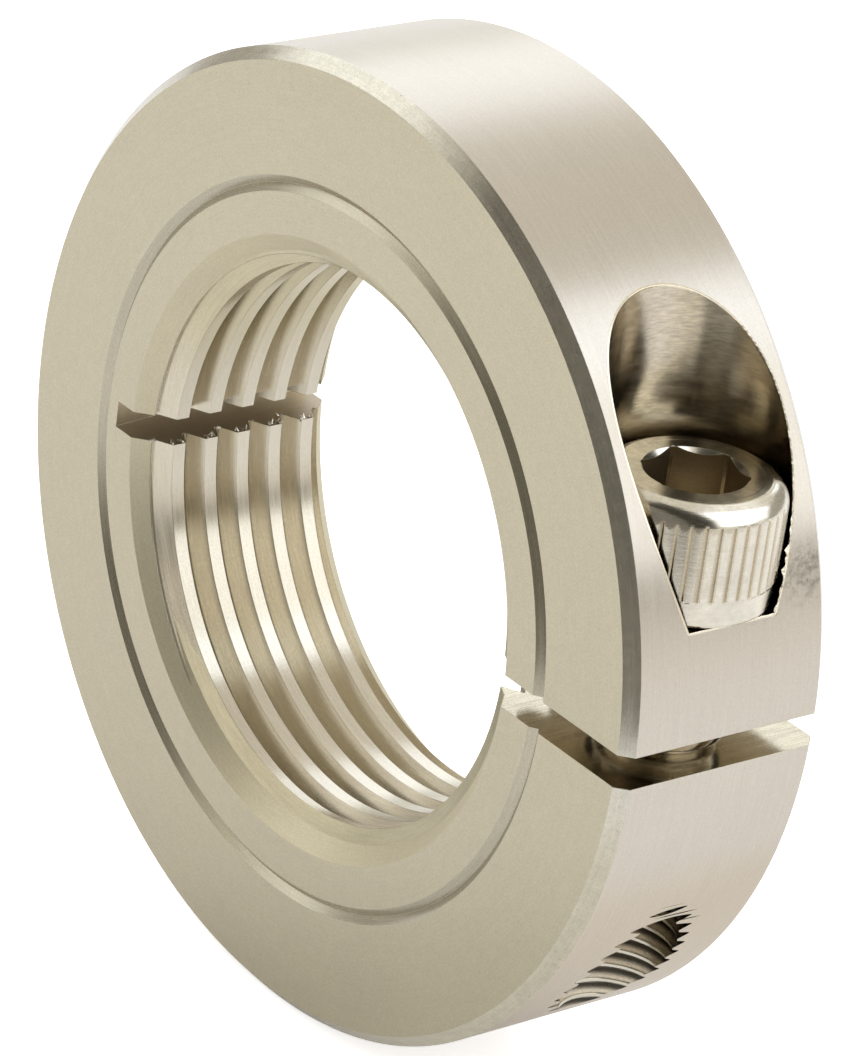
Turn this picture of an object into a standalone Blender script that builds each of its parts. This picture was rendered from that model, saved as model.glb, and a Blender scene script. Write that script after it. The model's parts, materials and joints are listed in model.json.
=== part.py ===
"""Threaded clamping shaft collar: a one-piece split ring for a 1 1/4-12 shaft with its clamp screw.

Frame: the origin is on the bore axis at the middle of the collar's width. The bore axis is Y and
the grooved front face looks along -Y. The clamp gap opens at +X and the screw head is towards +Z.
The ring is modelled as two arms that meet at the thin web opposite the gap, where it flexes.
"""
import math

import bmesh
import bpy
from mathutils import Matrix

MM = 0.001

# Ring
OUTER_RADIUS = 26.194 * MM
WIDTH = 12.7 * MM
EDGE_CHAMFER = 0.65 * MM
GROOVE_OUTER_RADIUS = 19.64 * MM
GROOVE_INNER_RADIUS = 18.80 * MM
GROOVE_DEPTH = 0.40 * MM
RING_SEGMENTS = 96

# Bore thread, 1 1/4-12 UNF, right hand
BORE_MAJOR_RADIUS = 15.875 * MM
BORE_MINOR_RADIUS = 14.80 * MM
BORE_PITCH = 25.4 / 12 * MM
BORE_MOUTH_RADIUS = 16.55 * MM
BORE_MOUTH_DEPTH = 1.75 * MM
BORE_THREAD_SHIFT = -0.23 * MM
BORE_SEGMENTS = 72

# Clamp gap at +X, relief slot and flexing web at -X
GAP_HEIGHT = 1.75 * MM
SLOT_HEIGHT = 1.5 * MM
SLOT_END_X = -18.4 * MM
WEB_SEAM = 0.3 * MM
HINGE_X = (SLOT_END_X - OUTER_RADIUS) / 2

# Clamp screw, 1/4-28 UNF x 5/8 socket head cap screw, and its holes
SCREW_X = 21.08 * MM
SEAT_Z = 6.65 * MM
COUNTERBORE_RADIUS = 5.05 * MM
CLEARANCE_HOLE_RADIUS = 3.40 * MM
SCREW_PITCH = 25.4 / 28 * MM
SCREW_MAJOR_RADIUS = 3.12 * MM
SCREW_MINOR_RADIUS = 2.62 * MM
SCREW_THREAD_SHIFT = 0.41 * MM
SCREW_LENGTH = 15.875 * MM
THREAD_CLEARANCE = 0.20 * MM
SCREW_SEGMENTS = 16
HEAD_RADIUS = 4.76 * MM
HEAD_HEIGHT = 6.35 * MM
HEAD_SEAT_GAP = 0.05 * MM
UNDERSIDE_Z = SEAT_Z + HEAD_SEAT_GAP
HEX_ACROSS_FLATS = 4.763 * MM
HEX_DEPTH = 3.2 * MM
HEX_TURN = math.radians(45)
KNURL_TEETH = 41
KNURL_DEPTH = 0.2 * MM

STEEL = (0.60, 0.57, 0.48, 1.0)
PLATED = (0.66, 0.64, 0.60, 1.0)


def clear_scene():
    for item in list(bpy.data.objects):
        bpy.data.objects.remove(item, do_unlink=True)


def make_material(name, colour, roughness):
    material = bpy.data.materials.new(name)
    material.use_nodes = True
    shader = material.node_tree.nodes["Principled BSDF"]
    shader.inputs["Base Color"].default_value = colour
    shader.inputs["Metallic"].default_value = 1.0
    shader.inputs["Roughness"].default_value = roughness
    return material


def add_object(name, bm, material=None):
    bmesh.ops.recalc_face_normals(bm, faces=bm.faces)
    mesh = bpy.data.meshes.new(name)
    bm.to_mesh(mesh)
    bm.free()
    obj = bpy.data.objects.new(name, mesh)
    bpy.context.scene.collection.objects.link(obj)
    if material is not None:
        mesh.materials.append(material)
    return obj


def add_cutter(name, bm):
    obj = add_object(name, bm)
    obj.hide_render = True
    obj.display_type = "WIRE"
    return obj


def add_boolean(obj, other, operation):
    modifier = obj.modifiers.new(other.name, "BOOLEAN")
    modifier.operation = operation
    modifier.solver = "EXACT"
    modifier.object = other


def skin_rings(bm, rings, close_ring):
    """Join rings of equal vertex counts with quads; close_ring also joins the last to the first."""
    count = len(rings[0])
    pairs = list(zip(rings, rings[1:]))
    if close_ring:
        pairs.append((rings[-1], rings[0]))
    for low, high in pairs:
        for i in range(count):
            k = (i + 1) % count
            bm.faces.new((low[i], low[k], high[k], high[i]))


def turned(profile, segments, closed):
    """Turn (radius, height) points about Z; an open profile gets flat ends."""
    bm = bmesh.new()
    rings = []
    for radius, height in profile:
        ring = []
        for i in range(segments):
            angle = 2 * math.pi * i / segments
            ring.append(bm.verts.new((radius * math.cos(angle), radius * math.sin(angle), height)))
        rings.append(ring)
    skin_rings(bm, rings, closed)
    if not closed:
        bm.faces.new(rings[0])
        bm.faces.new(rings[-1])
    return bm


def extruded(outline, y_min, y_max):
    """Extrude a polygon of (x, z) points along Y."""
    bm = bmesh.new()
    near = [bm.verts.new((x, y_min, z)) for x, z in outline]
    far = [bm.verts.new((x, y_max, z)) for x, z in outline]
    skin_rings(bm, [near, far], False)
    bm.faces.new(near)
    bm.faces.new(far)
    return bm


def threaded_rod(major, minor, pitch, z_min, z_max, segments):
    """Right-hand 60 degree thread about Z, trimmed flat at both ends."""
    flank = (major - minor) * math.tan(math.radians(30)) / pitch
    crest = 0.125
    steps = ((0.0, major), (crest, major), (crest + flank, minor), (1.0 - flank, minor))
    first = math.floor(z_min / pitch) - 2
    turns = math.ceil(z_max / pitch) + 2 - first
    bm = bmesh.new()
    rows = []
    for i in range(turns * segments + 1):
        angle = 2 * math.pi * i / segments
        row = []
        for share, radius in steps:
            z = pitch * (first + i / segments + share)
            row.append(bm.verts.new((radius * math.cos(angle), radius * math.sin(angle), z)))
        rows.append(row)
    for i in range(len(rows) - 1):
        for j in range(3):
            bm.faces.new((rows[i][j], rows[i + 1][j], rows[i + 1][j + 1], rows[i][j + 1]))
        if i + 1 + segments < len(rows):
            low, high = rows[i], rows[i + 1]
            bm.faces.new((low[3], high[3], rows[i + 1 + segments][0], rows[i + segments][0]))
    for z, direction in ((z_min, -1), (z_max, 1)):
        geometry = bm.verts[:] + bm.edges[:] + bm.faces[:]
        cut = bmesh.ops.bisect_plane(
            bm, geom=geometry, plane_co=(0, 0, z), plane_no=(0, 0, direction), clear_outer=True
        )
        rim = [edge for edge in cut["geom_cut"] if isinstance(edge, bmesh.types.BMEdge)]
        bmesh.ops.holes_fill(bm, edges=rim, sides=0)
    return bm


def smooth(obj):
    obj.data.shade_smooth()
    obj.data.set_sharp_from_angle(angle=math.radians(28))


def moved(bm, matrix):
    bmesh.ops.transform(bm, matrix=matrix, verts=bm.verts)
    return bm


clear_scene()
ring_steel = make_material("stainless_ring", STEEL, 0.34)
screw_steel = make_material("plated_screw", PLATED, 0.22)

# Turned ring section, going round it from the front mouth of the bore.
half = WIDTH / 2
groove_middle = (GROOVE_OUTER_RADIUS + GROOVE_INNER_RADIUS) / 2
section = [
    (BORE_MINOR_RADIUS, -half + BORE_MOUTH_DEPTH),
    (BORE_MOUTH_RADIUS, -half),
    (GROOVE_INNER_RADIUS, -half),
    (groove_middle, -half + GROOVE_DEPTH),
    (GROOVE_OUTER_RADIUS, -half),
    (OUTER_RADIUS - EDGE_CHAMFER, -half),
    (OUTER_RADIUS, -half + EDGE_CHAMFER),
    (OUTER_RADIUS, half - EDGE_CHAMFER),
    (OUTER_RADIUS - EDGE_CHAMFER, half),
    (BORE_MOUTH_RADIUS, half),
    (BORE_MINOR_RADIUS, half - BORE_MOUTH_DEPTH),
]
along_y = Matrix.Rotation(-math.pi / 2, 4, "X")

bore_thread = add_cutter("bore_thread_cutter", moved(threaded_rod(
    BORE_MAJOR_RADIUS, BORE_MINOR_RADIUS - 0.5 * MM, BORE_PITCH, -half - 2 * MM, half + 2 * MM,
    BORE_SEGMENTS), Matrix.Translation((0, BORE_THREAD_SHIFT, 0)) @ along_y))


def arm_boundary(side):
    """Everything on the far side of the split, as (x, z) points; side is 1 above it, -1 below."""
    reach = 2 * OUTER_RADIUS
    steps = [
        (reach, GAP_HEIGHT / 2),
        (0.0, GAP_HEIGHT / 2),
        (0.0, SLOT_HEIGHT / 2),
        (SLOT_END_X, SLOT_HEIGHT / 2),
        (SLOT_END_X, WEB_SEAM / 2),
        (-reach, WEB_SEAM / 2),
        (-reach, -reach),
        (reach, -reach),
    ]
    return [(x, z * side) for x, z in steps]


def add_arm(name, side):
    arm = add_object(name, moved(turned(section, RING_SEGMENTS, True), along_y), ring_steel)
    split = add_cutter(name + "_split", extruded(arm_boundary(side), -WIDTH, WIDTH))
    add_boolean(arm, bore_thread, "DIFFERENCE")
    add_boolean(arm, split, "DIFFERENCE")
    return arm


# Upper arm: carries the screw head in a counterbore that breaks out of the ring.
upper_arm = add_arm("collar_upper_arm", 1)
screw_place = Matrix.Translation((SCREW_X, 0, UNDERSIDE_Z))
head_pocket = add_cutter("head_pocket_cutter", moved(turned([
    (CLEARANCE_HOLE_RADIUS, -UNDERSIDE_Z),
    (CLEARANCE_HOLE_RADIUS, -HEAD_SEAT_GAP),
    (COUNTERBORE_RADIUS, -HEAD_SEAT_GAP),
    (COUNTERBORE_RADIUS, OUTER_RADIUS),
], 48, False), screw_place))
add_boolean(upper_arm, head_pocket, "DIFFERENCE")
smooth(upper_arm)

# Lower arm: tapped right through; it swings about the web, so its origin is on the hinge axis.
lower_arm = add_arm("collar_lower_arm", -1)
thread_place = Matrix.Translation((0, 0, SCREW_THREAD_SHIFT))
tapped_hole = add_cutter("tapped_hole_cutter", moved(threaded_rod(
    SCREW_MAJOR_RADIUS + THREAD_CLEARANCE, SCREW_MINOR_RADIUS + THREAD_CLEARANCE, SCREW_PITCH,
    -OUTER_RADIUS - UNDERSIDE_Z, -UNDERSIDE_Z, SCREW_SEGMENTS), screw_place @ thread_place))
add_boolean(lower_arm, tapped_hole, "DIFFERENCE")
smooth(lower_arm)
hinge = Matrix.Translation((HINGE_X, 0, 0))
lower_arm.data.transform(hinge.inverted())
lower_arm.matrix_world = hinge

# Clamp screw: its origin is on the screw axis at the underside of the head.
columns = 2 * KNURL_TEETH
head_rows = [
    (HEAD_RADIUS - 0.25 * MM, 0.0, False),
    (HEAD_RADIUS - 0.06 * MM, 0.2 * MM, False),
    (HEAD_RADIUS - 0.06 * MM, 1.45 * MM, False),
    (HEAD_RADIUS, 1.60 * MM, True),
    (HEAD_RADIUS, 5.00 * MM, True),
    (HEAD_RADIUS - 0.08 * MM, 5.25 * MM, False),
    (HEAD_RADIUS - 0.22 * MM, 5.80 * MM, False),
    (HEAD_RADIUS - 0.50 * MM, 6.18 * MM, False),
    (HEAD_RADIUS - 0.95 * MM, HEAD_HEIGHT, False),
]
head = bmesh.new()
rings = []
for radius, height, knurled in head_rows:
    ring = []
    for i in range(columns):
        angle = 2 * math.pi * i / columns
        reach = radius - (KNURL_DEPTH if knurled and i % 2 else 0.0)
        ring.append(head.verts.new((reach * math.cos(angle), reach * math.sin(angle), height)))
    rings.append(ring)
skin_rings(head, rings, False)
head.faces.new(rings[0])
head.faces.new(rings[-1])
clamp_screw = add_object("clamp_screw", head, screw_steel)

hex_radius = HEX_ACROSS_FLATS / math.sqrt(3)
socket = add_cutter("hex_socket_cutter", moved(turned([
    (0.4 * MM, HEAD_HEIGHT - HEX_DEPTH - 1.2 * MM),
    (hex_radius * 0.86, HEAD_HEIGHT - HEX_DEPTH),
    (hex_radius, HEAD_HEIGHT - HEX_DEPTH),
    (hex_radius, HEAD_HEIGHT + 1 * MM),
], 6, False), Matrix.Rotation(HEX_TURN, 4, "Z")))
shank = add_cutter("screw_shank", moved(threaded_rod(
    SCREW_MAJOR_RADIUS, SCREW_MINOR_RADIUS, SCREW_PITCH, -SCREW_LENGTH - SCREW_THREAD_SHIFT,
    0.6 * MM - SCREW_THREAD_SHIFT, SCREW_SEGMENTS), thread_place))
envelope = add_cutter("screw_point_cutter", turned([
    (SCREW_MINOR_RADIUS - 0.35 * MM, -SCREW_LENGTH - 0.05 * MM),
    (SCREW_MAJOR_RADIUS + 0.35 * MM, -SCREW_LENGTH + 1.0 * MM),
    (SCREW_MAJOR_RADIUS + 0.35 * MM, 1.0 * MM),
], 40, False))
add_boolean(shank, envelope, "INTERSECT")
add_boolean(clamp_screw, shank, "UNION")
add_boolean(clamp_screw, socket, "DIFFERENCE")
smooth(clamp_screw)
for piece in (clamp_screw, shank, envelope, socket):
    piece.matrix_world = screw_place
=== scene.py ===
import json
import math
import random

import bmesh
import bpy
import numpy as np
from mathutils import Matrix, Vector


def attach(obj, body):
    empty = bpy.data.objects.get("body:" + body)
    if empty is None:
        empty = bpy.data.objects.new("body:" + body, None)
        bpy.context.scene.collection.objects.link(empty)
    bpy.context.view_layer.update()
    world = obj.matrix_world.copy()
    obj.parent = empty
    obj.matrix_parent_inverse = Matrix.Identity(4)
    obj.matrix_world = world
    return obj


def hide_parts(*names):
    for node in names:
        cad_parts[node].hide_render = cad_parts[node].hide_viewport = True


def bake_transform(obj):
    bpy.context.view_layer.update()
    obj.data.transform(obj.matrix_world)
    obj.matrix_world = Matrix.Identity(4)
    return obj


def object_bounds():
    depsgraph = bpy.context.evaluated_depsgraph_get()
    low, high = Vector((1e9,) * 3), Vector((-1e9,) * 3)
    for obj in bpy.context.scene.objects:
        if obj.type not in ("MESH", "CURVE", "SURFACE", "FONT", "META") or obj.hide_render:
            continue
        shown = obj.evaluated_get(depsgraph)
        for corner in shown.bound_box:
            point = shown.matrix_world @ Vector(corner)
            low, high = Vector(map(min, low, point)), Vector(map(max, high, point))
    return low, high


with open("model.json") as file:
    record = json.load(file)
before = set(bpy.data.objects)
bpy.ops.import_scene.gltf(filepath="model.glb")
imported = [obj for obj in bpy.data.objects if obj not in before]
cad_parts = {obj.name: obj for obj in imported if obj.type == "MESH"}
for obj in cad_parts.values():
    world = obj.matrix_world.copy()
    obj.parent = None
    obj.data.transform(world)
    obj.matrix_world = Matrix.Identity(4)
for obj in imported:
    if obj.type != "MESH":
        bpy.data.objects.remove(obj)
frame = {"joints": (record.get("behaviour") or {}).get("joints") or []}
cad_low, cad_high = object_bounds()
joints = {joint["name"]: joint for joint in frame["joints"]}

MM = 0.001
TAU = 2 * math.pi

# Sizes shared with the CAD frame
HALF_WIDTH = (cad_high.y - cad_low.y) / 2
OUTER = -cad_low.x
SCREW_X, _, UNDERSIDE_Z = joints["screw_turn"]["pos_m"]

# Sizes of the ring's features
CHAMFER = 0.65 * MM
GROOVE_INNER = 18.80 * MM
GROOVE_OUTER = 19.64 * MM
GROOVE_DEPTH = 0.34 * MM
BORE_MAJOR = 15.875 * MM
BORE_MINOR = 14.80 * MM
BORE_PITCH = 25.4 / 12 * MM
BORE_MOUTH = 16.55 * MM
MOUTH_INNER = 15.62 * MM
MOUTH_DEPTH = 1.33 * MM
BORE_SHIFT = -0.145 * MM
GAP = 1.75 * MM
SLOT = 1.5 * MM
SLOT_END_X = -18.5 * MM
BLADE_RADIUS = 40 * MM
SEAT_Z = 6.65 * MM
POCKET_RADIUS = 5.05 * MM
CLEARANCE_RADIUS = 3.40 * MM
TAP_MAJOR = 3.31 * MM
TAP_MINOR = 2.75 * MM

# Clamp screw
PITCH = 25.4 / 28 * MM
THREAD_SHIFT = 0.41 * MM
SCREW_MAJOR = 3.08 * MM
SCREW_MINOR = 2.60 * MM
SCREW_LENGTH = 15.875 * MM
HEAD_RADIUS = 4.76 * MM
HEAD_HEIGHT = 6.35 * MM
HEX_FLATS = 4.763 * MM
KNURL_TEETH = 41
HEX_TURN = 0.76  # in sixths of a turn

# How far the cutters reach past the ring
PAST_RIM = 30 * MM
PAST_FACES = 9 * MM
INSIDE_BORE = 5 * MM
POCKET_TOP = 28 * MM

# Cutter marks at the top of the tapped hole's opening: radius, height, offset along the bore
TAP_MARKS = (
    (3.36 * MM, -9.70 * MM, -0.1 * MM),
    (3.30 * MM, -10.50 * MM, 0.55 * MM),
    (3.22 * MM, -11.15 * MM, 0.75 * MM),
)
MARK_DEPTH = 0.4 * MM
MARK_HALF_HEIGHT = 0.05 * MM
MARK_TILT = math.radians(-3)

# Noise scales of the finishes, per metre
FINE_LINES, COARSE_LINES = 26000.0, 6000.0
SPECK_SCALE, PATCH_SCALE, CLOUD_SCALE = 9000.0, 1700.0, 190.0
PIT_SCALE, SCUFF_SCALE = 4200.0, 2400.0


# ---------------------------------------------------------------- mesh tools
def to_object(name, bm):
    bmesh.ops.recalc_face_normals(bm, faces=bm.faces)
    mesh = bpy.data.meshes.new(name)
    bm.to_mesh(mesh)
    bm.free()
    obj = bpy.data.objects.new(name, mesh)
    bpy.context.scene.collection.objects.link(obj)
    return obj


def skin(bm, rings, closed):
    """Join rings of vertices with quads; a closed skin also joins the last ring to the first."""
    count = len(rings[0])
    pairs = list(zip(rings, rings[1:]))
    if closed:
        pairs.append((rings[-1], rings[0]))
    for low, high in pairs:
        for i in range(count):
            k = (i + 1) % count
            bm.faces.new((low[i], low[k], high[k], high[i]))


def turned(profile, segments, closed, shift=0.0):
    """Turn (radius, height) points about Z."""
    bm = bmesh.new()
    rings = []
    for radius, height in profile:
        ring = []
        for i in range(segments):
            angle = TAU * (i + shift) / segments
            ring.append(bm.verts.new((radius * math.cos(angle), radius * math.sin(angle), height)))
        rings.append(ring)
    skin(bm, rings, closed)
    if not closed:
        bm.faces.new(rings[0])
        bm.faces.new(rings[-1])
    return bm


def block(low, high):
    bm = bmesh.new()
    bmesh.ops.create_cube(bm, size=1.0)
    low, high = Vector(low), Vector(high)
    for vert in bm.verts:
        vert.co = Vector((low[i] + (vert.co[i] + 0.5) * (high[i] - low[i]) for i in range(3)))
    return bm


def threaded_rod(steps, pitch, z_min, z_max, segments):
    """Right-hand thread about Z with the profile given as (share of the pitch, radius)."""
    first = math.floor(z_min / pitch) - 2
    turns = math.ceil(z_max / pitch) + 2 - first
    bm = bmesh.new()
    rows = []
    for i in range(turns * segments + 1):
        angle = TAU * i / segments
        row = []
        for share, radius in steps:
            z = pitch * (first + i / segments + share)
            row.append(bm.verts.new((radius * math.cos(angle), radius * math.sin(angle), z)))
        rows.append(row)
    last = len(steps) - 1
    for i in range(len(rows) - 1):
        for j in range(last):
            bm.faces.new((rows[i][j], rows[i + 1][j], rows[i + 1][j + 1], rows[i][j + 1]))
        if i + 1 + segments < len(rows):
            low, high = rows[i], rows[i + 1]
            bm.faces.new((low[last], high[last], rows[i + 1 + segments][0], rows[i + segments][0]))
    for z, direction in ((z_min, -1), (z_max, 1)):
        geometry = bm.verts[:] + bm.edges[:] + bm.faces[:]
        cut = bmesh.ops.bisect_plane(
            bm, geom=geometry, plane_co=(0, 0, z), plane_no=(0, 0, direction), clear_outer=True
        )
        rim = [edge for edge in cut["geom_cut"] if isinstance(edge, bmesh.types.BMEdge)]
        bmesh.ops.holes_fill(bm, edges=rim, sides=0)
    return bm


def thread_steps(major, minor, pitch, crest, rounding):
    """60 degree thread whose crest and root corners are eased by `rounding` of the depth."""
    depth = major - minor
    flank = depth * math.tan(math.radians(30)) / pitch
    ease = rounding * depth
    slide = ease * math.tan(math.radians(30)) / pitch
    return (
        (0.0, major - ease * 0.25),
        (crest * 0.3, major),
        (crest * 0.7, major),
        (crest, major - ease * 0.25),
        (crest + slide, major - ease),
        (crest + flank - slide, minor + ease),
        (crest + flank, minor + ease * 0.25),
        (crest + flank + slide, minor),
        (1 - flank - slide, minor),
        (1 - flank, minor + ease * 0.25),
        (1 - flank + slide, minor + ease),
        (1 - slide, major - ease),
    )


def place(bm, matrix):
    bmesh.ops.transform(bm, matrix=matrix, verts=bm.verts)
    return bm


def carve(obj, steps):
    """Apply Boolean steps [(operation, cutter)] and drop the cutters."""
    for operation, cutter in steps:
        modifier = obj.modifiers.new(cutter.name, "BOOLEAN")
        modifier.operation = operation
        modifier.solver = "EXACT"
        modifier.object = cutter
    bpy.context.view_layer.update()
    graph = bpy.context.evaluated_depsgraph_get()
    mesh = bpy.data.meshes.new_from_object(obj.evaluated_get(graph))
    obj.modifiers.clear()
    obj.data = mesh
    for _, cutter in steps:
        bpy.data.objects.remove(cutter, do_unlink=True)


def face_arrays(mesh):
    count = len(mesh.polygons)
    centres = np.empty(count * 3)
    normals = np.empty(count * 3)
    mesh.polygons.foreach_get("center", centres)
    mesh.polygons.foreach_get("normal", normals)
    return centres.reshape(-1, 3), normals.reshape(-1, 3)


def round_normals(mesh, kind, axis_x):
    """Exact corner normals. kind 0: flat, 1: round about the bore, 2: round about the screw."""
    centres, normals = face_arrays(mesh)
    totals = np.empty(len(mesh.polygons), int)
    mesh.polygons.foreach_get("loop_total", totals)
    loops = np.empty(len(mesh.loops), int)
    mesh.loops.foreach_get("vertex_index", loops)
    points = np.empty(len(mesh.vertices) * 3)
    mesh.vertices.foreach_get("co", points)
    points = points.reshape(-1, 3)[loops]
    owner = np.repeat(np.arange(len(totals)), totals)
    result = normals[owner].copy()
    for which, up, flat in ((1, 1, (0, 2)), (2, 2, (0, 1))):
        origin = np.zeros(3)
        origin[0] = axis_x if which == 2 else 0.0
        mask = kind[owner] == which
        radial = points[mask] - origin
        radial[:, up] = 0
        radial /= np.maximum(np.linalg.norm(radial, axis=1), 1e-9)[:, None]
        middle = centres[owner[mask]] - origin
        middle[:, up] = 0
        base = normals[owner[mask]]
        side = np.sign((base * middle).sum(1))
        along = np.clip(base[:, up], -1, 1)
        fresh = radial * (side * np.sqrt(1 - along * along))[:, None]
        fresh[:, up] = along
        result[mask] = fresh
    mesh.shade_smooth()
    mesh.normals_split_custom_set(result.tolist())


# ---------------------------------------------------------------- node tools
class Graph:
    """A thin helper for building node trees."""

    def __init__(self, tree):
        self.tree = tree

    def node(self, kind, inputs=None, **settings):
        made = self.tree.nodes.new(kind)
        for key, value in settings.items():
            setattr(made, key, value)
        for key, value in (inputs or {}).items():
            self.feed(made.inputs[key], value)
        return made

    def feed(self, socket, value):
        if isinstance(value, bpy.types.NodeSocket):
            self.tree.links.new(value, socket)
        else:
            socket.default_value = value

    def math(self, operation, a, b=0.0):
        return self.node("ShaderNodeMath", {0: a, 1: b}, operation=operation).outputs[0]

    def hypot(self, a, b):
        squares = self.math("ADD", self.math("MULTIPLY", a, a), self.math("MULTIPLY", b, b))
        return self.math("SQRT", squares)

    def vector(self, x, y, z):
        return self.node("ShaderNodeCombineXYZ", {0: x, 1: y, 2: z}).outputs[0]

    def noise(self, vector, scale, detail=2.0, roughness=0.5):
        made = self.node("ShaderNodeTexNoise", {
            "Vector": vector, "Scale": scale, "Detail": detail, "Roughness": roughness})
        return made.outputs["Fac"]

    def span(self, value, low, high, to_low, to_high, smooth=False):
        made = self.node("ShaderNodeMapRange", {
            0: value, 1: low, 2: high, 3: to_low, 4: to_high})
        made.interpolation_type = "SMOOTHSTEP" if smooth else "LINEAR"
        return made.outputs[0]

    def mix(self, share, a, b):
        made = self.node("ShaderNodeMix", data_type="RGBA")
        self.feed(made.inputs["Factor"], share)
        self.feed(made.inputs["A"], a)
        self.feed(made.inputs["B"], b)
        return made.outputs["Result"]


def steel(name, colour, roughness, lines, stretch=1.0, anisotropy=0.0, grain=0.08, stain=0.03,
          line_tint=0.06, bump=1.0, axis="Y", edge=0.05, blotch=0.0, specks=0.0,
          shade=None, scuff=None, fade=None):
    """Machined steel; lines is "turned" (about the bore), "faced", "milled" (screw axis) or "sawn".

    grain, stain, line_tint, blotch and specks set how much the colour varies. shade is (near, far,
    tone): a painted shade that darkens the colour over the distance from the axis. scuff is
    (x, y, z, reach, strength). fade is (direction, start, end, second colour): a blend along a
    direction that the finishes use for painted shade and painted light.
    """
    material = bpy.data.materials.new(name)
    material.use_nodes = True
    tree = material.node_tree
    tree.nodes.clear()
    g = Graph(tree)
    coords = g.node("ShaderNodeTexCoord").outputs["Object"]
    x, y, z = g.node("ShaderNodeSeparateXYZ", {0: coords}).outputs
    if lines in ("turned", "faced"):
        length = g.hypot(x, z)
        cos, sin = g.math("DIVIDE", x, length), g.math("DIVIDE", z, length)
        across = y if lines == "turned" else length
    elif lines == "milled":
        dx = g.math("SUBTRACT", x, SCREW_X)
        length = g.hypot(dx, y)
        cos, sin = g.math("DIVIDE", dx, length), g.math("DIVIDE", y, length)
        across = z
    else:
        cos, sin = g.math("MULTIPLY", y, 60.0), 0.0
        across = x

    def streaks(scale, sweep, detail):
        """Noise drawn out along the tool's path."""
        return g.noise(g.vector(g.math("MULTIPLY", across, scale * stretch),
                                g.math("MULTIPLY", cos, sweep),
                                g.math("MULTIPLY", sin, sweep)), 1.0, detail)

    def swing(noise, amount):
        return g.span(noise, 0.3, 0.7, -amount, amount)

    fine = streaks(FINE_LINES, 9.0, 3.0)
    coarse = streaks(COARSE_LINES, 2.5, 2.0)
    speck = g.noise(coords, SPECK_SCALE, 2.0, 0.7)
    cloud = g.noise(coords, CLOUD_SCALE, 3.0)
    tone = g.math("ADD", swing(fine, line_tint), swing(coarse, line_tint * 0.6))
    tone = g.math("ADD", tone, swing(speck, grain))
    tone = g.math("ADD", tone, swing(cloud, stain))
    if blotch:
        patch = g.noise(coords, PATCH_SCALE, 3.0, 0.65)
        tone = g.math("ADD", tone, g.span(patch, 0.35, 0.75, -blotch, blotch * 2.2))
    if specks:
        pits = g.noise(coords, PIT_SCALE, 1.0)
        tone = g.math("ADD", tone, g.span(pits, 0.70, 0.76, 0.0, -specks))
    tone = g.math("ADD", tone, 1.0)
    if shade:
        tone = g.math("MULTIPLY", tone, g.span(length, shade[0], shade[1], 1.0, shade[2], True))
    if scuff:
        away = g.node("ShaderNodeVectorMath", {0: coords, 1: scuff[:3]}, operation="DISTANCE")
        near = g.span(away.outputs["Value"], scuff[3] * 0.3, scuff[3], 1.0, 0.0, True)
        marks = g.span(g.noise(coords, SCUFF_SCALE, 4.0, 0.75), 0.44, 0.66, 0.0, scuff[4])
        tone = g.math("SUBTRACT", tone, g.math("MULTIPLY", near, marks))
    tint = colour[:3]
    if fade:
        along = g.node("ShaderNodeVectorMath", {0: coords, 1: fade[0]}, operation="DOT_PRODUCT")
        share = g.span(along.outputs["Value"], fade[1], fade[2], 0.0, 1.0, True)
        tint = g.mix(share, (*colour[:3], 1), (*fade[3], 1))
    base = g.node("ShaderNodeVectorMath", {0: tint, 1: g.vector(tone, tone, tone)},
                  operation="MULTIPLY").outputs[0]
    rough = g.math("ADD", swing(coarse, 0.03),
                   g.span(cloud, 0.3, 0.7, roughness - 0.02, roughness + 0.02))
    height = g.math("ADD", g.math("MULTIPLY", fine, 0.6), g.math("MULTIPLY", coarse, 0.9))
    height = g.math("ADD", height, g.math("MULTIPLY", speck, 0.35))
    soft = g.node("ShaderNodeBevel", {"Radius": edge * MM}, samples=4).outputs[0]
    bumped = g.node("ShaderNodeBump", {"Strength": 0.35 * bump, "Distance": 0.004 * MM,
                                       "Height": height, "Normal": soft}).outputs[0]
    inputs = {"Base Color": base, "Metallic": 1.0, "Roughness": rough, "Normal": bumped}
    if anisotropy:
        tangent = g.node("ShaderNodeTangent", direction_type="RADIAL", axis=axis).outputs[0]
        inputs.update({"Anisotropic": anisotropy, "Anisotropic Rotation": 0.25, "Tangent": tangent})
    shader = g.node("ShaderNodeBsdfPrincipled", inputs).outputs[0]
    g.node("ShaderNodeOutputMaterial", {"Surface": shader})
    return material


# ---------------------------------------------------------------- the ring
groove_middle = (GROOVE_INNER + GROOVE_OUTER) / 2
section = [
    (BORE_MINOR, -HALF_WIDTH + MOUTH_DEPTH),
    (MOUTH_INNER, -HALF_WIDTH + BORE_MOUTH - MOUTH_INNER),
    (BORE_MOUTH, -HALF_WIDTH),
    (GROOVE_INNER, -HALF_WIDTH),
    (groove_middle, -HALF_WIDTH + GROOVE_DEPTH),
    (GROOVE_OUTER, -HALF_WIDTH),
    (OUTER - CHAMFER, -HALF_WIDTH),
    (OUTER, -HALF_WIDTH + CHAMFER),
    (OUTER, HALF_WIDTH - CHAMFER),
    (OUTER - CHAMFER, HALF_WIDTH),
    (BORE_MOUTH, HALF_WIDTH),
    (BORE_MINOR, HALF_WIDTH - (BORE_MOUTH - BORE_MINOR)),
]
along_y = Matrix.Rotation(-math.pi / 2, 4, "X")
ring_segments = 320
ring = to_object("collar_ring", place(turned(section, ring_segments, True, 0.5), along_y))

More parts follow.
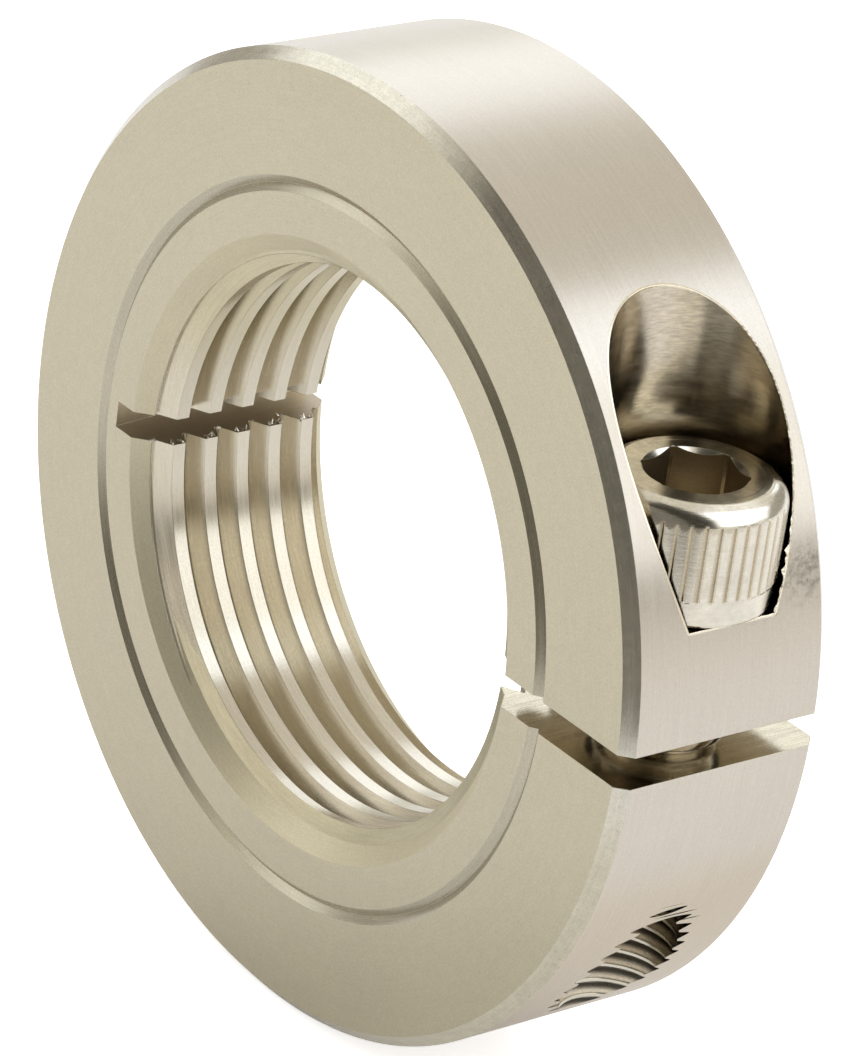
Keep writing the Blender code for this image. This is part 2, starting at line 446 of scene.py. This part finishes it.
bore_tool = to_object("bore_tool", place(
    threaded_rod(thread_steps(BORE_MAJOR, BORE_MINOR - 0.5 * MM, BORE_PITCH, 0.045, 0.06),
                 BORE_PITCH, -HALF_WIDTH - 2 * MM, HALF_WIDTH + 2 * MM, 192),
    Matrix.Translation((0, BORE_SHIFT, 0)) @ along_y))
gap_tool = to_object("gap_tool", block(
    (INSIDE_BORE, -PAST_FACES, -GAP / 2), (PAST_RIM, PAST_FACES, GAP / 2)))
slot_tool = to_object("slot_tool", place(
    turned([(BLADE_RADIUS, -SLOT / 2), (BLADE_RADIUS, SLOT / 2)], 240, False),
    Matrix.Translation((SLOT_END_X + BLADE_RADIUS, 0, 0))))
pocket_tool = to_object("pocket_tool", place(turned([
    (CLEARANCE_RADIUS, -0.3 * MM),
    (CLEARANCE_RADIUS, SEAT_Z),
    (POCKET_RADIUS, SEAT_Z),
    (POCKET_RADIUS, POCKET_TOP),
], 128, False), Matrix.Translation((SCREW_X, 0, 0))))
tap_tool = to_object("tap_tool", place(
    threaded_rod(thread_steps(TAP_MAJOR, TAP_MINOR, PITCH, 0.07, 0.10), PITCH,
                 -OUTER - UNDERSIDE_Z, -UNDERSIDE_Z - 0.1 * MM, 48),
    Matrix.Translation((SCREW_X, 0, UNDERSIDE_Z + THREAD_SHIFT))))
ring_steps = [("DIFFERENCE", bore_tool), ("DIFFERENCE", gap_tool), ("DIFFERENCE", slot_tool),
              ("DIFFERENCE", pocket_tool), ("DIFFERENCE", tap_tool)]
for reach, height, side in TAP_MARKS:
    mark = turned([(reach - MARK_DEPTH, -MARK_HALF_HEIGHT), (reach, 0.0),
                   (reach - MARK_DEPTH, MARK_HALF_HEIGHT)], 64, False)
    place(mark, Matrix.Translation((SCREW_X, side, height)) @ Matrix.Rotation(MARK_TILT, 4, "X"))
    ring_steps.append(("DIFFERENCE", to_object("tap_mark", mark)))
carve(ring, ring_steps)

ZONES = ["faced", "groove", "chamfer", "outside", "bore", "flank", "mouth", "throat", "jaw",
         "jaw_under", "slot", "slot_end", "pocket", "clearance", "tapped", "tap_crest"]
OUTSIDE = (0.60, 0.55, 0.478)
FACE = (0.525, 0.478, 0.362)
SCUFF_ANGLE = 0.32
finishes = {
    # The face darkens towards its lower outer edge: painted shade, the reflected contact shadow.
    "faced": steel("ring_face", FACE, 0.42, "faced", 1.0, 0.2, 0.09, 0.02, 0.03, blotch=0.015,
                   fade=((0.5, 0, -0.866), 15 * MM, 25 * MM, (0.441, 0.397, 0.290))),
    "groove": steel("ring_groove", (0.46, 0.42, 0.33), 0.26, "faced", 1.0, edge=0.03),
    # The chamfer darkens towards the bottom: painted shade, the reflected contact shadow.
    "chamfer": steel("ring_chamfer", (0.57, 0.54, 0.46), 0.22, "turned", 1.0, 0.0, 0.08, 0.03,
                     blotch=0.05, specks=0.2,
                     fade=((0, 0, -1), 1.5 * MM, 6 * MM, (0.50, 0.465, 0.365))),
    # The outside turns warmer and darker towards the bottom: a painted reflection of the floor.
    "outside": steel("ring_outside", OUTSIDE, 0.32, "turned", 1.0, 0.7, 0.06, 0.02, 0.04,
                     scuff=(OUTER * math.cos(SCUFF_ANGLE), 4.9 * MM,
                            OUTER * math.sin(SCUFF_ANGLE), 2.2 * MM, 0.48),
                     fade=((0, 0, -1), 5.5 * MM, 9.8 * MM, (0.576, 0.503, 0.405))),
    # The bore and its flanks darken and warm towards the top: painted shade.
    "bore": steel("ring_bore", (0.62, 0.57, 0.475), 0.24, "turned", 1.0, 0.75, 0.06, 0.03, 0.05,
                  fade=((0, 0, 1), 2 * MM, 8 * MM, (0.546, 0.490, 0.352))),
    "flank": steel("ring_flank", (0.60, 0.545, 0.435), 0.22, "turned", 1.0, 0.6, 0.07, 0.03, 0.06,
                   fade=((0, 0, 1), 2 * MM, 8 * MM, (0.530, 0.475, 0.335))),
    "mouth": steel("ring_mouth", (0.66, 0.605, 0.455), 0.58, "turned", 1.0, 0.5, 0.07, 0.03, 0.03),
    # The throat's darker colour, darker again towards +X, is painted shade on the steep wall.
    "throat": steel("ring_throat", (0.558, 0.510, 0.365), 0.40, "turned", 1.0, 0.5,
                    0.07, 0.03, 0.08,
                    fade=((1, 0, 0), 0.0, 9 * MM, (0.460, 0.420, 0.295))),
    "jaw": steel("ring_jaw", (0.50, 0.445, 0.33), 0.15, "sawn", 0.5, 0.0,
                 0.14, 0.14, 0.16, 0.8, edge=0.09),
    # The upper jaw's underside is a darker copy of the jaw finish: painted shade inside the gap.
    "jaw_under": steel("ring_jaw_under", (0.31, 0.255, 0.17), 0.20, "sawn", 0.5),
    # The slot walls are a darker copy of the sawn finish (painted shade), the end wall a far
    # brighter one (painted light).
    "slot": steel("ring_slot", (0.44, 0.37, 0.27), 0.45, "sawn", 0.5),
    "slot_end": steel("ring_slot_end", (0.88, 0.82, 0.68), 0.20, "sawn", 0.5),
    # The pocket and the clearance hole are very dark copies of the steel: painted shade in the
    # hollow. The pocket lightens towards its top rim as painted light.
    "pocket": steel("ring_pocket", (0.20, 0.165, 0.11), 0.18, "milled", 0.35, 0.8, 0.05, 0.08, 0.17,
                    axis="Z", fade=((0, -0.35, 1), UNDERSIDE_Z + HEAD_HEIGHT - 0.9 * MM,
                                    UNDERSIDE_Z + HEAD_HEIGHT + 0.7 * MM, (0.56, 0.50, 0.40))),
    "clearance": steel("ring_clearance", (0.24, 0.19, 0.13), 0.30, "milled", 1.0, axis="Z"),
    # The tapped hole darkens towards its thread roots (painted shade) and lightens towards its
    # lower end, where the threads run out (painted light).
    "tapped": steel("ring_tapped", (0.56, 0.50, 0.40), 0.24, "milled", 1.0, axis="Z",
                    shade=(TAP_MINOR + 0.12 * MM, TAP_MAJOR - 0.12 * MM, 0.28),
                    fade=((0, 0, -1), 14 * MM, 18 * MM, (0.82, 0.77, 0.68))),
    "tap_crest": steel("ring_tap_crest", (0.60, 0.56, 0.47), 0.20, "milled", 1.0, axis="Z"),
}

centres, normals = face_arrays(ring.data)
radius = np.hypot(centres[:, 0], centres[:, 2])
from_screw = np.hypot(centres[:, 0] - SCREW_X, centres[:, 1])
level = np.abs(centres[:, 2])
steep = np.abs(normals[:, 1])
along_bore = centres[:, 1]
zone = np.full(len(centres), ZONES.index("bore"))
NEAR = 0.02 * MM


def paint(mask, name):
    zone[mask] = ZONES.index(name)


def painted(*names):
    return np.isin(zone, [ZONES.index(name) for name in names])


# Later lines paint over earlier ones, so the order counts.
paint((steep > 0.3) & (radius < BORE_MAJOR + 0.1 * MM), "flank")
paint((steep > 0.885) & (steep < 0.915) & (radius < MOUTH_INNER) & (along_bore < -4.9 * MM)
      & (normals[:, 1] < 0), "throat")
paint((steep > 0.69) & (steep < 0.72) & (radius < BORE_MOUTH)
      & (np.abs(along_bore) > 4.4 * MM), "mouth")
paint((steep > 0.99) & (np.abs(along_bore) > HALF_WIDTH - NEAR), "faced")
paint((radius > GROOVE_INNER) & (radius < GROOVE_OUTER) & (steep < 0.999)
      & (along_bore < -HALF_WIDTH + GROOVE_DEPTH), "groove")
paint((radius > OUTER - CHAMFER) & (steep > 0.3) & (steep < 0.99), "chamfer")
paint((radius > OUTER - 0.05 * MM) & (steep < 0.1), "outside")
plane = np.abs(normals[:, 2]) > 0.999
paint(plane & (centres[:, 0] > 0) & (np.abs(level - GAP / 2) < NEAR), "jaw")
paint(painted("jaw") & (centres[:, 2] > 0), "jaw_under")
paint(plane & (centres[:, 0] < 0) & (np.abs(level - SLOT / 2) < NEAR), "slot")
paint((centres[:, 0] < SLOT_END_X + 2 * MM) & (level < SLOT / 2 - NEAR) & (radius < 20 * MM)
      & (steep < 0.5), "slot_end")
hollow = (from_screw < POCKET_RADIUS + NEAR) & (radius < OUTER - 0.06 * MM)
paint(hollow & (centres[:, 2] > 0) & ~painted("jaw", "jaw_under", "faced"), "pocket")
paint(painted("pocket") & (from_screw < CLEARANCE_RADIUS + 0.03 * MM), "clearance")
paint((from_screw < TAP_MAJOR + NEAR) & (centres[:, 2] < -GAP / 2 - NEAR)
      & ~((radius > OUTER - 0.01 * MM) & (steep < 0.02)), "tapped")
paint(painted("tapped") & (from_screw < TAP_MINOR + 0.06 * MM), "tap_crest")
for name in ZONES:
    ring.data.materials.append(finishes[name])
ring.data.polygons.foreach_set("material_index", zone.astype(np.int32))
kind = np.ones(len(zone), int)
kind[painted("faced", "jaw", "jaw_under", "slot", "slot_end")] = 0
kind[painted("pocket", "clearance", "tapped", "tap_crest")] = 2
kind[painted("pocket") & (np.abs(normals[:, 2]) > 0.99)] = 0
round_normals(ring.data, kind, SCREW_X)
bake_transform(ring)
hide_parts("collar_upper_arm", "collar_lower_arm")

# ---------------------------------------------------------------- burrs left by the cutters
def lip(name, stations, body):
    """Closed ragged lip. Each station: point, outward, inward, wall direction, reach, rise."""
    bm = bmesh.new()
    loops = []
    for point, outward, inward, wall, reach, rise in stations:
        spots = (
            point - inward * 0.11 * MM + outward * 0.002 * MM,
            point + outward * rise - inward * 0.01 * MM,
            point + inward * reach + outward * rise * 0.4,
            point + wall * 0.12 * MM - inward * 0.005 * MM,
            point - inward * 0.05 * MM - outward * 0.05 * MM,
        )
        loops.append([bm.verts.new(spot) for spot in spots])
    skin(bm, loops, True)
    obj = to_object(name, bm)
    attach(obj, body)
    return obj


def saw(dice, length, tooth, low, high):
    """Irregular tooth heights along a path, as a function of the distance."""
    knots = [(0.0, low)]
    while knots[-1][0] < length:
        step = tooth * dice.uniform(0.5, 1.4)
        knots.append((knots[-1][0] + step, dice.uniform(low, high) if len(knots) % 2 else low))
    places, heights = zip(*knots)
    return lambda distance: float(np.interp(distance, places, heights))


dice = random.Random(7)
stations = []
chatter = saw(dice, 60 * MM, 0.15 * MM, 0.00 * MM, 0.07 * MM)
chips = saw(dice, 60 * MM, 0.27 * MM, 0.00 * MM, 0.27 * MM)
seat_x = math.sqrt(OUTER * OUTER - SEAT_Z * SEAT_Z)
opening = math.acos((seat_x - SCREW_X) / POCKET_RADIUS)
half_seat = POCKET_RADIUS * math.sin(opening)
travelled = 0.0
last = None
samples = [("seat", -half_seat + 2 * half_seat * i / 60) for i in range(60)]
samples += [("rim", opening + (TAU - 2 * opening) * i / 520) for i in range(521)]
for where, value in samples:
    if where == "seat":
        point = Vector((seat_x, value, SEAT_Z))
        outward = Vector((point.x, 0, point.z)).normalized()
        inward = Vector((-outward.z, 0, outward.x))
        wall = Vector((-1, 0, 0))
        rough = min(1.0, max(0.0, (value - 1.0 * MM) / MM)) * 0.5
        bead = 0.0
    else:
        x = SCREW_X + POCKET_RADIUS * math.cos(value)
        point = Vector((x, POCKET_RADIUS * math.sin(value),
                        math.sqrt(max(0.0, OUTER * OUTER - x * x))))
        outward = Vector((point.x, 0, point.z)).normalized()
        level_in = Vector((-math.cos(value), -math.sin(value), 0))
        inward = (level_in - outward * level_in.dot(outward)).normalized()
        wall = Vector((0, 0, -1))
        turned_by = math.degrees(value)
        rough = min(1.0, max(0.0, (58 - turned_by) / 10))
        bead = min(1.0, max(0.0, (130 - turned_by) / 20))
    if last is not None:
        travelled += (point - last).length
    last = point
    reach = 0.012 * MM + chips(travelled) * rough + chatter(travelled) * bead * 0.6
    rise = 0.018 * MM + chatter(travelled) * max(bead * 0.8, rough * 0.8)
    reach += dice.uniform(-0.004, 0.004) * MM
    stations.append((point, outward, inward, wall, reach, rise))
rim_lip = lip("pocket_burr", stations, "upper_arm")
# The burr finishes are lighter than the ring's steel: partly a painted highlight along the rim and
# on the chips.
rim_lip.data.materials.append(
    steel("burr_gold", (0.78, 0.71, 0.57), 0.22, "turned", 1.0, edge=0.01))
burr_bright = steel("burr_bright", (0.72, 0.68, 0.60), 0.18, "turned", 1.0, edge=0.01)


def splinters(name, spots, body):
    """Small torn chips: (point, up, size) each gives a bent three-sided sliver."""
    bm = bmesh.new()
    for point, upward, size in spots:
        lean = Vector([dice.uniform(-1, 1) for _ in range(3)]) * 0.7
        axis = (upward + lean).normalized()
        side = axis.cross(Vector((dice.uniform(-1, 1), 1, dice.uniform(-1, 1)))).normalized()
        other = axis.cross(side)
        foot = [point + (side * math.cos(k * TAU / 3) + other * math.sin(k * TAU / 3)) * size * 0.35
                - axis * size * 0.3 for k in range(3)]
        bend = point + axis * size * 0.6 + side * size * 0.25
        waist = [spot * 0.4 + bend * 0.6 for spot in foot]
        tip = bm.verts.new(point + axis * size + side * size * 0.5)
        low = [bm.verts.new(spot) for spot in foot]
        mid = [bm.verts.new(spot) for spot in waist]
        bm.faces.new(low)
        for k in range(3):
            n = (k + 1) % 3
            bm.faces.new((low[k], low[n], mid[n], mid[k]))
            bm.faces.new((mid[k], mid[n], tip))
    obj = to_object(name, bm)
    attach(obj, body)
    return obj


THREAD_ROOT_X, THREAD_CREST_X = -15.72 * MM, -14.86 * MM
FIRST_ROOT_Y = 0.94 * MM
SEAT_CHIPS = 26
JAW_CHIPS = 14

spots = []
for turn in range(-3, 3):
    y_root = FIRST_ROOT_Y + turn * BORE_PITCH
    for _ in range(4):
        y = y_root + dice.uniform(-0.25, 0.2) * MM
        if abs(y) < HALF_WIDTH - 0.3 * MM:
            spots.append((Vector((THREAD_ROOT_X, y, -SLOT / 2)), Vector((0.3, 0, 1)),
                          dice.uniform(0.10, 0.22) * MM))
    for _ in range(11):
        y = y_root - BORE_PITCH / 2 + dice.uniform(-0.42, 0.36) * MM
        if abs(y) < HALF_WIDTH - 0.3 * MM:
            spots.append((Vector((THREAD_CREST_X - abs(dice.gauss(0, 0.1)) * MM, y, -SLOT / 2)),
                          Vector((0.2, 0, 1)), dice.uniform(0.12, 0.34) * MM))
slot_burr = splinters("slot_burr", spots, "lower_arm")
slot_burr.data.materials.append(burr_bright)
spots = []
for _ in range(SEAT_CHIPS):
    share = dice.uniform(-0.02, 1.0)
    y = half_seat * (0.45 + 0.6 * share)
    z = SEAT_Z - dice.uniform(-0.1, 0.35) * MM
    spots.append((Vector((math.sqrt(OUTER * OUTER - z * z) - 0.01 * MM, y, z)), Vector((1, 0, 0.3)),
                  dice.uniform(0.06, 0.13) * MM))
for _ in range(JAW_CHIPS):
    share = dice.uniform(0, 1)
    corner_spot = Vector((OUTER - CHAMFER * share - 0.03 * MM,
                          -HALF_WIDTH + CHAMFER * (1 - share) + 0.02 * MM,
                          -GAP / 2 - 0.03 * MM))
    spots.append((corner_spot, Vector((0.3, -0.5, 1)), dice.uniform(0.05, 0.10) * MM))
seat_burr = splinters("seat_burr", spots[:SEAT_CHIPS], "upper_arm")
seat_burr.data.materials.append(burr_bright)
jaw_burr = splinters("jaw_burr", spots[SEAT_CHIPS:], "lower_arm")
jaw_burr.data.materials.append(burr_bright)

# ---------------------------------------------------------------- the clamp screw
VALLEY = (0.0, 0.05, 0.2, 0.5, 1.0, 0.5, 0.2, 0.05)  # depth across one knurl tooth
SIDES = len(VALLEY)
columns = KNURL_TEETH * SIDES
KNURL_LOW = 1.42 * MM
KNURL_DEPTH = 0.07 * MM
KNURL_HIGH = 5.15 * MM
SHOULDER = HEAD_HEIGHT - KNURL_HIGH
outline = [
    (HEAD_RADIUS - 0.34 * MM, 0.0),
    (HEAD_RADIUS - 0.14 * MM, 0.07 * MM),
    (HEAD_RADIUS - 0.07 * MM, 0.20 * MM),
    (HEAD_RADIUS - 0.06 * MM, KNURL_LOW - 0.06 * MM),
    (HEAD_RADIUS, KNURL_LOW + 0.06 * MM),
    (HEAD_RADIUS, KNURL_HIGH),
]
for i in range(1, 15):
    turn = math.radians(72) * i / 14
    outline.append((HEAD_RADIUS - SHOULDER * (1 - math.cos(turn)),
                    KNURL_HIGH + SHOULDER * math.sin(turn)))
outline += [
    (3.86 * MM, HEAD_HEIGHT - 0.02 * MM),
    (3.80 * MM, HEAD_HEIGHT),
    (3.44 * MM, HEAD_HEIGHT),
    (3.40 * MM, HEAD_HEIGHT - 0.012 * MM),
]
head = bmesh.new()
rings = []
for reach, height in outline:
    loop = []
    for i in range(columns):
        angle = TAU * i / columns
        swing = VALLEY[i % SIDES]
        limit = HEAD_RADIUS - (KNURL_DEPTH * swing if height > KNURL_LOW else 0.0)
        length = min(reach, limit)
        loop.append(head.verts.new((length * math.cos(angle), length * math.sin(angle), height)))
    rings.append(loop)
skin(head, rings, False)
head.faces.new(rings[0])
head.faces.new(rings[-1])
screw = to_object("socket_screw", head)
hex_radius = HEX_FLATS / math.sqrt(3)
half_corner = 0.035  # half the angle of the narrow flat in each hex corner
socket_bm = bmesh.new()
socket_rings = []
hex_angles = [TAU * (k + HEX_TURN) / 6 + side * half_corner for k in range(6) for side in (-1, 1)]
socket_outline = (
    (0.3 * MM, 1.9 * MM),
    (hex_radius * 0.85, 3.0 * MM),
    (hex_radius * 0.99, 3.05 * MM),
    (hex_radius * 0.99, 8 * MM),
)
for reach, height in socket_outline:
    socket_rings.append([
        socket_bm.verts.new((reach * math.cos(angle), reach * math.sin(angle), height))
        for angle in hex_angles])
skin(socket_bm, socket_rings, False)
socket_bm.faces.new(socket_rings[0])
socket_bm.faces.new(socket_rings[-1])
socket_tool = to_object("socket_tool", socket_bm)
lead_in = to_object("lead_in_tool", turned([
    (hex_radius - 0.42 * MM, HEAD_HEIGHT - 0.30 * MM),
    (hex_radius - 0.05 * MM, HEAD_HEIGHT + 0.01 * MM),
    (hex_radius - 0.05 * MM, HEAD_HEIGHT + 1 * MM),
], 64, False))
shank = to_object("shank", place(threaded_rod(
    thread_steps(SCREW_MAJOR, SCREW_MINOR, PITCH, 0.125, 0.15), PITCH,
    -SCREW_LENGTH - THREAD_SHIFT, 0.5 * MM - THREAD_SHIFT, 48),
    Matrix.Translation((0, 0, THREAD_SHIFT))))
point = to_object("point_tool", turned([
    (SCREW_MINOR - 0.35 * MM, -SCREW_LENGTH - 0.05 * MM),
    (SCREW_MAJOR + 0.35 * MM, -SCREW_LENGTH + 1.0 * MM),
    (SCREW_MAJOR + 0.35 * MM, 1.0 * MM),
], 64, False))
carve(shank, [("INTERSECT", point)])
carve(screw, [("UNION", shank), ("DIFFERENCE", socket_tool), ("DIFFERENCE", lead_in)])
screw.data.transform(Matrix.Translation((SCREW_X, 0, UNDERSIDE_Z)))

head_top = UNDERSIDE_Z + HEAD_HEIGHT
# The plate's colour brightens over the shoulder on its +X side: a painted highlight
GLINT_RISE = 1.5
plate = steel("screw_plate", (0.66, 0.62, 0.535), 0.17, "milled", 1.0, 0.0, 0.05, 0.08, 0.05,
              axis="Z", blotch=0.05,
              fade=((0.978, -0.208, GLINT_RISE), 23.95 * MM + GLINT_RISE * head_top,
                    24.45 * MM + GLINT_RISE * head_top, (0.90, 0.875, 0.82)))
# screw_recess is a darker brown copy of the plate for the hex socket's walls: painted shade.
recess = steel("screw_recess", (0.45, 0.38, 0.27), 0.32, "milled", 1.0, 0.0, 0.08, 0.10, axis="Z")
# The knurl valleys take a darker brown copy of the plate: painted shade in the creases.
valley_shade = steel("screw_valley_shade", (0.48, 0.41, 0.30), 0.30, "milled", 1.0, 0.0, 0.10, 0.20, axis="Z")
thread_dark = steel("screw_thread", (0.62, 0.57, 0.48), 0.20, "milled", 1.0, axis="Z")
crown = steel("screw_crown", (0.52, 0.475, 0.37), 0.22, "milled", 1.0, 0.0, 0.08, 0.10, 0.08,
              axis="Z", blotch=0.08)
# The knurl slopes beside the valleys take a slightly darker copy: painted shade grading into the
# valleys.
slope_shade = steel("screw_slope_shade", (0.60, 0.545, 0.44), 0.26, "milled", 1.0, 0.0, 0.08, 0.10, axis="Z")
for material in (plate, recess, valley_shade, thread_dark, crown, slope_shade):
    screw.data.materials.append(material)
PLATE, RECESS, VALLEY_SHADE, THREAD, CROWN, SLOPE_SHADE = range(6)
centres, normals = face_arrays(screw.data)
arm = centres[:, :2] - np.array([SCREW_X, 0])
from_axis = np.hypot(arm[:, 0], arm[:, 1])
height = centres[:, 2] - UNDERSIDE_Z
in_socket = (from_axis < hex_radius) & (height > 1.5 * MM) & (height < HEAD_HEIGHT - 0.02 * MM)
lead = in_socket & (height > HEAD_HEIGHT - 0.4 * MM) & (normals[:, 2] > 0.3)
wall = in_socket & ~lead
corner = wall & (from_axis > hex_radius - 0.06 * MM) & (np.abs(normals[:, 2]) < 0.1)
outward = (normals[:, :2] * arm).sum(1) / np.maximum(from_axis, 1e-9)
knurled = (height > KNURL_LOW - 0.1 * MM) & (from_axis > HEAD_RADIUS - 0.3 * MM)
valley = knurled & (outward < 0.95) & (np.abs(normals[:, 2]) < 0.15)
parts = np.full(len(height), PLATE, np.int32)
# Painted shade on the socket walls
parts[wall & ~corner] = RECESS
# Painted shade on the knurl slopes and, darker, in the valleys
parts[knurled & (outward < 0.985) & (np.abs(normals[:, 2]) < 0.15)] = SLOPE_SHADE
parts[valley] = VALLEY_SHADE
parts[height < -0.01 * MM] = THREAD
parts[(height > HEAD_HEIGHT - 0.07 * MM) & (normals[:, 2] > 0.9)] = CROWN
screw.data.polygons.foreach_set("material_index", parts)
kind = np.full(len(height), 2)
kind[wall | valley] = 0
kind[np.abs(normals[:, 2]) > 0.99] = 0
round_normals(screw.data, kind, SCREW_X)
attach(screw, "screw")
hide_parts("clamp_screw")

# ---------------------------------------------------------------- floor, light, camera
# The floor lies away from the camera and ends 95 mm in front of the ring
FLOOR_RADIUS, FLOOR_X, FLOOR_Y, FLOOR_DROP = 1.0, -0.695, 0.580, 0.0001
floor_bm = bmesh.new()
bmesh.ops.create_circle(floor_bm, cap_ends=True, segments=96, radius=FLOOR_RADIUS)
floor = to_object("floor", floor_bm)
floor.location = (FLOOR_X, FLOOR_Y, cad_low.z - FLOOR_DROP)
floor_material = bpy.data.materials.new("pale_floor")
floor_material.use_nodes = True
floor_graph = Graph(floor_material.node_tree)
floor_shader = floor_material.node_tree.nodes["Principled BSDF"]
paper = floor_graph.noise(floor_graph.node("ShaderNodeTexCoord").outputs["Object"], 40.0, 3.0)
floor_graph.feed(floor_shader.inputs["Base Color"], floor_graph.mix(
    paper, (0.90, 0.90, 0.90, 1), (0.92, 0.92, 0.92, 1)))
floor_shader.inputs["Roughness"].default_value = 0.9
floor_path = floor_graph.node("ShaderNodeLightPath").outputs
glow = floor_graph.math("ADD", floor_graph.math("MULTIPLY", floor_path["Is Camera Ray"], 0.6),
                        floor_graph.math("MULTIPLY", floor_path["Is Glossy Ray"], 0.05))
floor_shader.inputs["Emission Color"].default_value = (1, 1, 1, 1)
floor_graph.feed(floor_shader.inputs["Emission Strength"], glow)
floor_shader.inputs["Specular IOR Level"].default_value = 0.0
floor.data.materials.append(floor_material)

world = bpy.data.worlds.new("studio")
bpy.context.scene.world = world
world.use_nodes = True
world.cycles.sampling_method = "NONE"
world.node_tree.nodes.clear()
w = Graph(world.node_tree)
toward = w.node("ShaderNodeTexCoord").outputs["Generated"]
dir_x, dir_y, dir_z = w.node("ShaderNodeSeparateXYZ", {0: toward}).outputs
from_up = w.math("ARCTAN2", w.math("MULTIPLY", dir_x, -1.0), dir_z)
around = w.math("ADD", w.math("DEGREES", from_up), 90.0)


def band(value, low, high, soft):
    """1 between low and high, fading to 0 over `soft` outside them."""
    rise = w.span(value, low - soft, low, 0.0, 1.0, True)
    fall = w.span(value, high, high + soft, 1.0, 0.0, True)
    return w.math("MULTIPLY", rise, fall)


BASE_LIGHT = (0.90, 0.86, 0.77, 1)
PLAIN_LIGHT = (1.22, 1.22, 1.22, 1)
# Panels: angle about Y from +X towards +Z, its softness, range along Y, its softness, radiance.
# A later panel covers an earlier one.
PANELS = [
    ((131, 160), 8, (-0.55, 0.35), 0.15, (1.58, 1.60, 1.58, 1)),
    ((165, 195), 6, (-0.45, 0.12), 0.12, (0.55, 0.52, 0.46, 1)),
    ((131, 225), 5, (0.30, 1.00), 0.15, (1.60, 1.67, 1.76, 1)),
    ((150, 159), 4, (0.30, 1.00), 0.15, (1.74, 1.82, 1.88, 1)),
    ((164, 175), 4, (0.30, 1.00), 0.15, (0.86, 0.86, 0.78, 1)),
    ((184, 225), 3, (0.30, 1.00), 0.15, (3.60, 3.70, 3.70, 1)),
    ((-30, 0), 6, (0.30, 0.85), 0.15, (1.03, 0.99, 0.95, 1)),
    ((14, 72), 3, (0.00, 1.00), 0.13, (1.70, 1.74, 1.74, 1)),
    ((58, 73), 4, (0.10, 1.00), 0.15, (1.95, 2.06, 2.22, 1)),
    ((15, 32), 4, (0.00, 1.00), 0.13, (1.76, 1.81, 1.84, 1)),
    ((4, 9), 3, (0.30, 0.80), 0.10, (0.45, 0.43, 0.38, 1)),
    ((-400, 400), 1, (0.89, 1.20), 0.05, (0.45, 0.43, 0.38, 1)),
    ((-95, 110), 10, (-1.10, -0.48), 0.18, (0.28, 0.265, 0.23, 1)),
    ((5, 80), 8, (-0.97, -0.34), 0.12, (0.235, 0.225, 0.195, 1)),
    ((8, 104), 6, (-0.60, -0.17), 0.07, (0.06, 0.056, 0.046, 1)),
    ((150, 262), 10, (-1.20, -0.90), 0.03, (2.00, 1.92, 1.80, 1)),
]
light = BASE_LIGHT
for angles, angle_soft, reach, reach_soft, radiance in PANELS:
    share = w.math("MULTIPLY", band(around, *angles, angle_soft), band(dir_y, *reach, reach_soft))
    light = w.mix(share, light, radiance)
path = w.node("ShaderNodeLightPath")
plain = w.math("MAXIMUM", path.outputs["Is Camera Ray"], path.outputs["Is Diffuse Ray"])
light = w.mix(plain, light, PLAIN_LIGHT)
background = w.node("ShaderNodeBackground", {"Color": light, "Strength": 1.0})
w.node("ShaderNodeOutputWorld", {"Surface": background.outputs[0]})

# The camera was solved from the ring's edges
AZIMUTH, ELEVATION, ROLL = 50.152, 25.469, 7.576
DISTANCE, SHIFT_RIGHT, SHIFT_UP = 289.5 * MM, 0.915 * MM, 0.168 * MM
FOCAL_LENGTH, FRAME_HEIGHT = 5543.7, 1056  # both in units of the frame's rows
SENSOR = 36
a, e, r = (math.radians(value) for value in (AZIMUTH, ELEVATION, ROLL))
back = Vector((math.sin(a) * math.cos(e), -math.cos(a) * math.cos(e), math.sin(e)))
right = Vector((math.cos(a), math.sin(a), 0))
up = back.cross(right)
right, up = right * math.cos(r) + up * math.sin(r), up * math.cos(r) - right * math.sin(r)
camera = bpy.data.objects.new("camera", bpy.data.cameras.new("camera"))
bpy.context.scene.collection.objects.link(camera)
rotation = Matrix((right, up, back)).transposed().to_4x4()
spot = back * DISTANCE + right * SHIFT_RIGHT + up * SHIFT_UP
camera.matrix_world = Matrix.Translation(spot) @ rotation
camera.data.sensor_width = SENSOR
camera.data.lens = FOCAL_LENGTH * SENSOR / FRAME_HEIGHT
camera.data.clip_start = 0.01
camera.data.clip_end = 10
bpy.context.scene.camera = camera
bpy.context.scene.view_settings.view_transform = "Standard"
